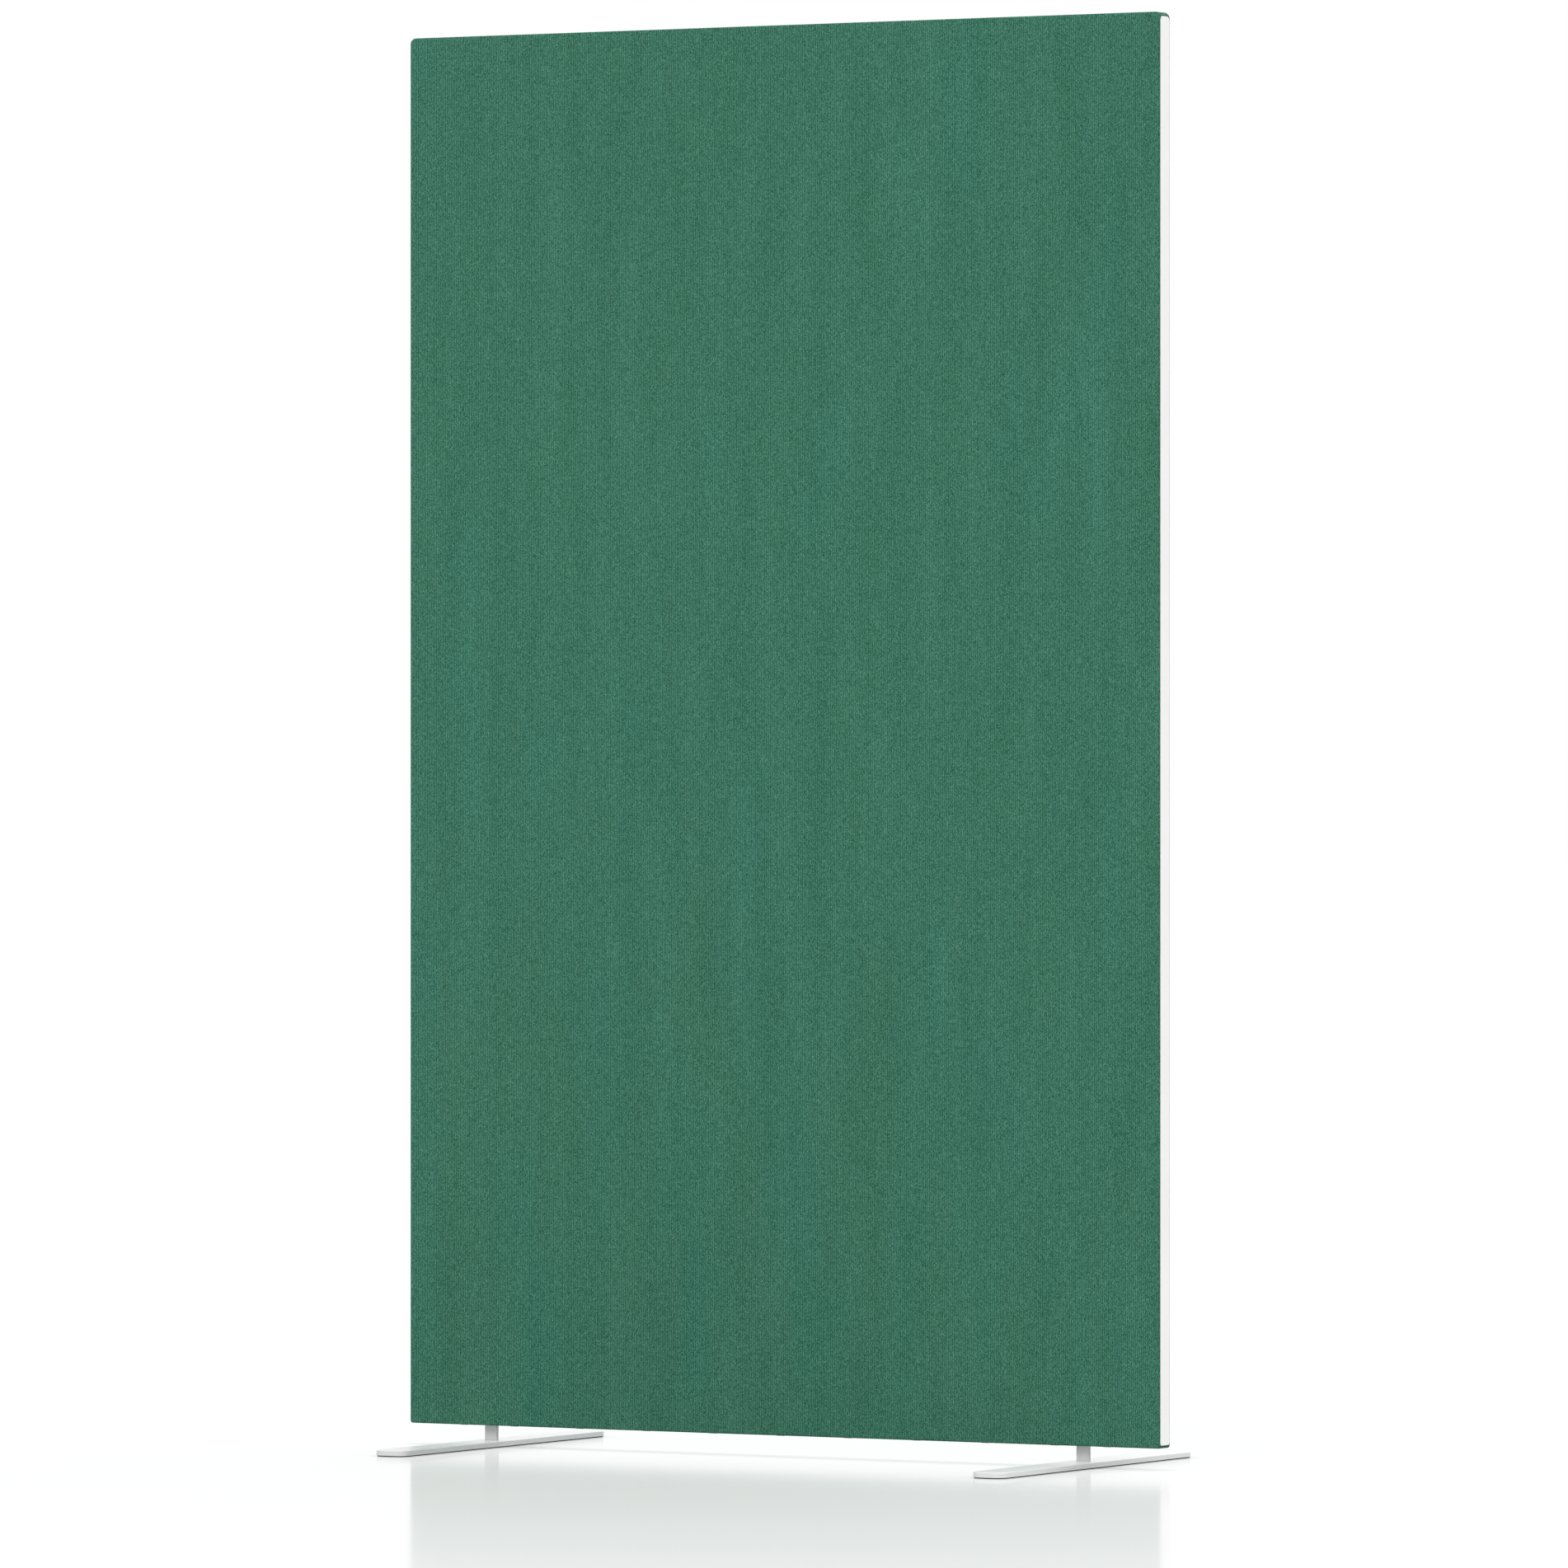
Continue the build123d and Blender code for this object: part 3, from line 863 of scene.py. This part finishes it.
@dataclass
class FabricCover:
    """The cloth: one piece over the front, the top and the rear, tucked in at the sides and hemmed below.

    An opening's sizes are its half width, bottom, top, top radius and bottom radius.
    """

    slab: RoundedSlab = RoundedSlab(
        half_width=499 * MM,
        bottom=25 * MM,
        top=1650 * MM,
        half_thickness=12 * MM,
        top_radius=7 * MM,
        bottom_radius=3 * MM,
        edge_radius=1.5 * MM,
    )
    pocket_sizes: tuple[float, ...] = (11 * MM, 28.2 * MM, 1645.1 * MM, 5.1 * MM, 3.1 * MM)
    slot_sizes: tuple[float, ...] = (4.7 * MM, 35.6 * MM, 1637.7 * MM, 2 * MM, 2 * MM)
    slot_notch: float = 1.2 * MM
    hem_gap: float = 0.5 * MM
    sleeve_half: float = 485 * MM
    sleeve_columns: int = 41
    seat: float = 496.6 * MM
    post_place: float = 394 * MM
    post_half: float = 8.5 * MM
    post_notch: float = 3.0 * MM
    thickness: float = 0.4 * MM
    fan_depth: float = 4 * MM
    fan_steps: int = 26
    fan_crowding: int = 3
    wall_shares: tuple[float, ...] = (0.5, 1.0)
    tuck_shares: tuple[float, ...] = (0.33, 0.67, 1.0)
    flat_cut: tuple[float, float] = (1.016, 3.295)
    swell: float = 0.12 * MM
    swell_share: float = 0.4
    swell_across: tuple[float, float] = (9.0, 130.0)
    swell_up: tuple[float, float] = (-3.0, 7.0)
    smooth_angle: float = 40.0
    finish: RibbedCloth = field(default_factory=RibbedCloth)

    def pocket(self) -> RoundedOpening:
        """The opening that the white strip sits in."""
        return RoundedOpening(*self.pocket_sizes, self.hem_gap, self.post_notch)

    def slot(self) -> RoundedOpening:
        """The cut end of the side flap, under the channel's flanges."""
        return RoundedOpening(*self.slot_sizes, self.hem_gap, self.slot_notch)

    def columns(self) -> Array:
        """Where the right half's sleeve has its columns.

        Returns:
            Even places from the middle outwards, but at a post only its opening's two ends.
        """
        even = np.linspace(0, self.sleeve_half, self.sleeve_columns // 2 + 1)
        ends = self.post_place + self.post_half * np.array([-1, 1])
        return np.unique(np.concatenate([even[np.abs(even - self.post_place) > 2 * self.post_half], ends]))

    def right_half(self) -> Array:
        """The right half of the cloth, as (column, station, xyz).

        Returns:
            First the sleeve: the slab's section, carried along X. Then a fan of rays in the plane of X and
            each station's outward direction, which turn from outwards to the pocket's edge, closer
            together towards that edge. Then straight lines down the pocket's wall and along its floor.
        """
        points, ways = self.pocket().stations()
        ends, _ = self.slot().stations()
        count = len(points)
        edge = np.column_stack([np.full(count, self.sleeve_half), points])
        out = np.column_stack([np.zeros(count), ways])
        ring = self.slab.cast(edge, out)
        sleeve = np.repeat(ring[None], len(self.columns()), axis=0)
        sleeve[..., 0] = self.columns()[:, None]
        sleeve[..., 1] += self.softness(sleeve)
        pivot = ring - out * self.fan_depth
        side = np.tile([1.0, 0.0, 0.0], (count, 1))
        rim = self.slab.cast(edge, side)
        last = np.arctan2(rim[:, 0] - pivot[:, 0], ((rim - pivot) * out).sum(1))
        share = 1 - (1 - np.linspace(0, 1, self.fan_steps + 1)[1:]) ** self.fan_crowding
        angle = share[:, None, None] * last[None, :, None]
        pivots = np.broadcast_to(pivot, (self.fan_steps, count, 3))
        fan = self.slab.cast(pivots, out * np.cos(angle) + side * np.sin(angle))
        fan[-1] = rim
        floor = np.column_stack([np.full(count, self.seat), points])
        flap = np.column_stack([np.full(count, self.seat), ends])
        wall = between(rim, floor, self.wall_shares)
        tuck = between(floor, flap, self.tuck_shares)
        return np.concatenate([sleeve, fan, wall, tuck])

    def softness(self, points: Array) -> Array:
        """How far the stretched cloth stands off the flat, through the thickness.

        Args:
            points: Points of the sleeve, whose last axis is x, y and z.

        Returns:
            A slow swell over the felt on each face: a product of two waves, which fades out to the sides
            and the ends, and none on the top and the underside.
        """
        x, y, z = points[..., 0], points[..., 1], points[..., 2]
        share = (z - self.slab.bottom) / (self.slab.top - self.slab.bottom)
        fade = np.clip(1 - (x / self.sleeve_half) ** 4, 0, 1) * np.clip(4 * share * (1 - share), 0, 1)
        across = np.sin(x * self.swell_across[0] + y * self.swell_across[1])
        up = np.cos(x * self.swell_up[0] + z * self.swell_up[1])
        waves = 1 - self.swell_share + self.swell_share * across * up
        facing = np.where(np.abs(y) > self.slab.half_thickness - CLOSE, np.sign(y), 0)
        return self.swell * waves * fade * facing

    def faces(self, sheet: Array) -> Array:
        """The cloth's quads, without the hem's gap and the openings for the posts.

        Args:
            sheet: The cloth's grid, as (column, station, xyz).

        Returns:
            The quads, (m, 4), as vertex numbers.
        """
        rows, count = sheet.shape[:2]
        faces = grid_faces(rows, count)
        middle = sheet.reshape(-1, 3)[faces].mean(axis=2)
        wraps = np.arange(count) == count - 1
        inside = np.abs(middle[..., 0]) < self.sleeve_half
        below = middle[..., 2] < self.slab.bottom + self.slab.edge_radius
        at_post = np.abs(np.abs(middle[..., 0]) - self.post_place) < self.post_half
        notch = below & at_post & (np.abs(middle[..., 1]) < self.post_notch)
        return faces[~((wraps & inside) | notch)]

    def build(self) -> bpy.types.Object:
        """Makes the cloth.

        Returns:
            The whole sheet as one grid: the right half and its mirror image.
        """
        sheet = mirrored(self.right_half())
        cut = self.cut_places(sheet).reshape(-1, 2)
        piece = mesh_piece("cloth_cover", sheet.reshape(-1, 3), self.faces(sheet), cut)
        smooth_under(piece, self.smooth_angle)
        wall = piece.modifiers.new("cloth_thickness", "SOLIDIFY")
        wall.thickness, wall.offset, wall.use_rim = self.thickness, -1.0, True
        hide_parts("fabric_cover")
        wear(piece, self.finish.material())
        return piece

    @staticmethod
    def cut_places(sheet: Array) -> Array:
        """Where each vertex lies on the flat cloth.

        Args:
            sheet: The cloth's grid, as (column, station, xyz).

        Returns:
            Two lengths for each vertex: the length along its own row from the middle column, and the
            length round the middle column from the rear hem.
        """
        across = np.linalg.norm(np.diff(sheet, axis=0), axis=2)
        across = np.concatenate([np.zeros((1, sheet.shape[1])), np.cumsum(across, axis=0)])
        across -= across[len(sheet) // 2]
        round_it = np.linalg.norm(np.diff(sheet[len(sheet) // 2], axis=0), axis=1)
        along = np.concatenate([[0], np.cumsum(round_it)])
        return np.stack([across, np.broadcast_to(along, across.shape)], axis=-1)


@dataclass
class FeltBatts:
    """The four pressed felt batts that fill the frame's pockets, two to a side of the hardboard."""

    nodes: tuple[str, ...] = tuple(
        f"{face}_{level}_absorber" for face in ("front", "rear") for level in ("upper", "lower")
    )
    edge_radius: float = 2.2 * MM
    hollow: float = 0.25 * MM
    corner_steps: int = 6
    side_steps: int = 24
    length_steps: int = 12
    smooth_angle: float = 50.0
    finish: PressedFibre = field(default_factory=PressedFibre)

    def section(self, half_y: float, half_z: float) -> tuple[Array, Array]:
        """The batt's section through Y and Z: a rounded rectangle.

        Args:
            half_y: Half the thickness.
            half_z: Half the height.

        Returns:
            The core points, on a rectangle smaller by the edge radius, and the outward directions there.
            The directions turn by a quarter circle at each corner.
        """
        turn = np.linspace(0, math.pi / 2, self.corner_steps)
        rise = np.linspace(-1, 1, self.side_steps)[1:-1]
        core_y, core_z = half_y - self.edge_radius, half_z - self.edge_radius
        cores, ways = [], []
        for quarter, (sy, sz) in enumerate(((1, 1), (-1, 1), (-1, -1), (1, -1))):
            angle = turn + quarter * math.pi / 2
            ways.append(np.stack([np.cos(angle), np.sin(angle)], axis=1))
            cores.append(np.tile([sy * core_y, sz * core_z], (self.corner_steps, 1)))
            if sy * sz < 0:
                cores.append(np.column_stack([np.full(len(rise), sy * core_y), -sz * rise * core_z]))
                ways.append(np.tile([float(sy), 0.0], (len(rise), 1)))
        return np.concatenate(cores), np.concatenate(ways)

    def grid(self, half: Array) -> Array:
        """A batt about the origin, as (column, station, xyz).

        Args:
            half: Half its length, thickness and height.

        Returns:
            The section is carried along X, shrinks round a quarter circle at each end, and closes on the
            middle line. The broad faces are slightly hollow, as pressed felt is: the hollow fades out to
            the sides and the ends by the fourth power.
        """
        core, way = self.section(half[1], half[2])
        turn = np.linspace(0, math.pi / 2, self.corner_steps)
        core_x = half[0] - self.edge_radius
        along = np.linspace(0, core_x, self.length_steps)[:-1]
        straight = np.ones(len(along))
        place = np.concatenate([along, core_x + self.edge_radius * np.sin(turn), [half[0]]])
        spread = self.edge_radius * np.concatenate([straight, np.cos(turn), [0]])
        close = np.concatenate([straight, np.ones(self.corner_steps), [0]])
        grid = np.empty((len(place), len(core), 3))
        grid[..., 0] = place[:, None]
        grid[..., 1] = core[None, :, 0] * close[:, None] + spread[:, None] * way[None, :, 0]
        grid[..., 2] = core[None, :, 1] + spread[:, None] * way[None, :, 1]
        u, w = grid[..., 0] / half[0], grid[..., 2] / half[2]
        grid[..., 1] *= 1 - self.hollow * np.clip((1 - u**4) * (1 - w**4), 0, 1) / half[1]
        return mirrored(grid)

    def build(self, node: str) -> bpy.types.Object:
        """Makes the batt that stands for one CAD node.

        Args:
            node: The node's name.

        Returns:
            A closed block that fills the node's box.
        """
        low, high = (np.array(corner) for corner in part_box(node))
        grid = self.grid((high - low) / 2) + (low + high) / 2
        faces = grid_faces(len(grid), grid.shape[1]).reshape(-1, 4)
        piece = mesh_piece("felt_" + node.replace("_absorber", ""), grid.reshape(-1, 3), faces)
        join_close(piece)
        smooth_under(piece, self.smooth_angle)
        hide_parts(node)
        wear(piece, self.finish.material())
        return piece


def sides(*nodes: str) -> tuple[str, ...]:
    """The right and the left node of each of those names."""
    return tuple(f"{side}_{node}" for node in nodes for side in ("right", "left"))


@dataclass
class HardParts:
    """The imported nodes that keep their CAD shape, by the finish that they share."""

    nodes: dict[Finish, tuple[str, ...]] = field(
        default_factory=lambda: {
            SatinPlastic(): sides("edge_strip"),
            BrushedMetal(): sides("edge_channel"),
            BrushedMetal(name="staple_wire", lines_along=Along.WIDTH): ("hem_staples",),
            ZincPlate(): sides("channel_screws", "foot_socket", "socket_screws"),
            Timber(): sides("stile"),
            Timber(name="softwood_rail", grain=Along.WIDTH): ("top_rail", "mid_rail", "bottom_rail"),
            Timber(
                name="beech",
                early=linear(225, 190, 148),
                late=linear(204, 160, 115),
                grain=Along.WIDTH,
                ring_pitch=1.4 * MM,
            ): ("frame_dowels",),
            PressedFibre(
                name="hardboard",
                ground=linear(118, 84, 56),
                fleck=linear(150, 112, 78),
                dark_fleck=linear(84, 58, 38),
                lumps=1100.0,
                relief=0.08 * MM,
                rough=0.6,
            ): ("upper_septum", "lower_septum"),
            PowderCoat(): sides("foot_plate"),
            # Painted shade: the posts wear a greyer copy of the feet's white powder coat, standing in for the
            # shade under the panel.
            PowderCoat(
                name="powder_coat_post_painted_shade", colour=linear(214, 214, 214), worn=linear(196, 196, 196)
            ): sides("foot_post"),
            MattRubber(): sides("foot_pad"),
        }
    )

    def dress(self) -> None:
        """Gives each node its finish, one material for each finish."""
        for finish, nodes in self.nodes.items():
            material = finish.material()
            for node in nodes:
                wear(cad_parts[node], material)
                log.info("%s wears %s", node, finish.name)


# The studio


@dataclass(frozen=True)
class Lamp:
    """A far, broad lamp. Its azimuth goes from the front towards the screen's right edge, in degrees."""

    name: str
    azimuth: float
    elevation: float
    strength: float
    breadth: float = 45.0

    def build(self) -> bpy.types.Object:
        """Hangs the lamp so that it shines at the screen.

        Returns:
            The lamp, at the origin: only its turn counts.
        """
        data = bpy.data.lights.new(self.name, "SUN")
        data.energy, data.angle = self.strength, math.radians(self.breadth)
        made = bpy.data.objects.new(self.name, data)
        made.rotation_euler = (math.radians(90 - self.elevation), 0, math.radians(self.azimuth))
        bpy.context.scene.collection.objects.link(made)
        return made


@dataclass
class Studio:
    """A white room with a pale, faintly glossy floor, two broad lamps, and the photograph's camera."""

    azimuth: float = 30.045
    distance: float = 13.20499
    camera_height: float = 0.82349
    sideways: float = 0.00091
    lens: float = 262.937
    sensor: float = 36.0
    shift_y: float = -0.02644
    clip: tuple[float, float] = (0.1, 200.0)
    room_light: float = 0.53
    lamps: tuple[Lamp, ...] = (
        Lamp("front_lamp", azimuth=17.0, elevation=60.0, strength=2.02),
        Lamp("rear_lamp", azimuth=158.0, elevation=57.0, strength=2.35),
    )
    floor_half: float = 60.0
    floor_albedo: float = 0.5
    floor_glow: float = 0.975
    floor_shade: float = 0.03
    contact_reach: float = 35 * MM
    contact_samples: int = 8
    contact_shade: Colour = linear(140, 142, 142)
    gloss_tint: Colour = (0.955, 1.0, 0.985)
    gloss_roughness: float = 0.128
    gloss_near: float = 0.42
    gloss_fall: float = 0.115
    gloss_least: float = 0.06

    def camera(self) -> bpy.types.Object:
        """Puts the camera where the photograph was taken from.

        Returns:
            The camera, level, with its frame shifted down.
        """
        turn = math.radians(self.azimuth)
        forward = np.array([-math.sin(turn), math.cos(turn)])
        right = np.array([math.cos(turn), math.sin(turn)])
        place = -forward * self.distance + right * self.sideways
        data = bpy.data.cameras.new("camera")
        data.sensor_width, data.lens, data.shift_y = self.sensor, self.lens, self.shift_y
        data.clip_start, data.clip_end = self.clip
        made = bpy.data.objects.new("camera", data)
        made.location = (*place, self.camera_height)
        made.rotation_euler = (math.pi / 2, 0, turn)
        bpy.context.scene.collection.objects.link(made)
        bpy.context.scene.camera = made
        return made

    def world(self) -> None:
        """Lights the room evenly, and shows it as plain white in the picture and in reflections."""
        world = bpy.data.worlds.new("white_room")
        graph = ShaderGraph(world)
        rays = graph.node("LightPath", {})
        seen = graph.sum("MAXIMUM", rays["Is Camera Ray"], rays["Is Glossy Ray"])
        seen = graph.sum("MAXIMUM", seen, rays["Is Transmission Ray"])
        inputs = {"Color": grey(1.0), "Strength": self.room_light + seen * (1 - self.room_light)}
        graph.node("OutputWorld", {"Surface": graph.node("Background", inputs)["Background"]})
        bpy.context.scene.world = world

    def shown_floor(self, graph: ShaderGraph) -> Wire:
        """What the camera sees of the floor.

        Args:
            graph: The floor's graph.

        Returns:
            The shader: white, darker only close under the screen, with a soft reflection that fades
            away from the middle.
        """
        inputs = {"Distance": self.contact_reach}
        bare = graph.node("AmbientOcclusion", inputs, samples=self.contact_samples)["AO"]
        contact = graph.blend(bare, self.contact_shade, (1.0, 1.0, 1.0))
        light = {"Color": contact, "Strength": self.floor_glow}
        glow = graph.node("Emission", light)["Emission"]
        shade = graph.node("BsdfDiffuse", {"Color": grey(self.floor_shade)})["BSDF"]
        plain = graph.node("AddShader", {0: glow, 1: shade})["Shader"]
        mirror = {"Color": solid(self.gloss_tint), "Roughness": self.gloss_roughness}
        gloss = graph.node("BsdfAnisotropic", mirror)["BSDF"]
        reach = graph.node("VectorMath", {0: graph.place()}, operation="LENGTH")["Value"]
        share = graph.sum("MAXIMUM", self.gloss_near - reach * self.gloss_fall, self.gloss_least)
        return graph.node("MixShader", {0: share, 1: plain, 2: gloss})["Shader"]

    def floor(self) -> bpy.types.Object:
        """Lays the floor.

        Returns:
            One square, matt to the light and as shown_floor says to the camera.
        """
        half = self.floor_half
        corners = [(-half, -half, 0), (half, -half, 0), (half, half, 0), (-half, half, 0)]
        mesh = bpy.data.meshes.new("floor")
        mesh.from_pydata(corners, [], [(0, 1, 2, 3)])
        made = bpy.data.objects.new("floor", mesh)
        bpy.context.scene.collection.objects.link(made)
        material = bpy.data.materials.new("pale_floor")
        graph = ShaderGraph(material)
        matt = graph.node("BsdfDiffuse", {"Color": grey(self.floor_albedo)})["BSDF"]
        seen = graph.node("LightPath", {})["Is Camera Ray"]
        mixed = graph.node("MixShader", {0: seen, 1: matt, 2: self.shown_floor(graph)})
        graph.node("OutputMaterial", {"Surface": mixed["Shader"]})
        made.data.materials.append(material)
        return made

    def build(self) -> None:
        """Sets up the room, the lamps and the camera."""
        self.world()
        self.floor()
        for lamp in self.lamps:
            lamp.build()
        self.camera()
        bpy.context.scene.view_settings.view_transform = "Standard"


def main() -> None:
    """Builds and dresses the screen, piece by piece, and reports each."""
    logging.basicConfig(level=logging.INFO, format="%(name)s: %(message)s")
    Studio().build()
    HardParts().dress()
    log.info("%s made", FabricCover().build().name)
    batts = FeltBatts()
    for node in batts.nodes:
        log.info("%s made", batts.build(node).name)


if __name__ == "__main__":
    main()
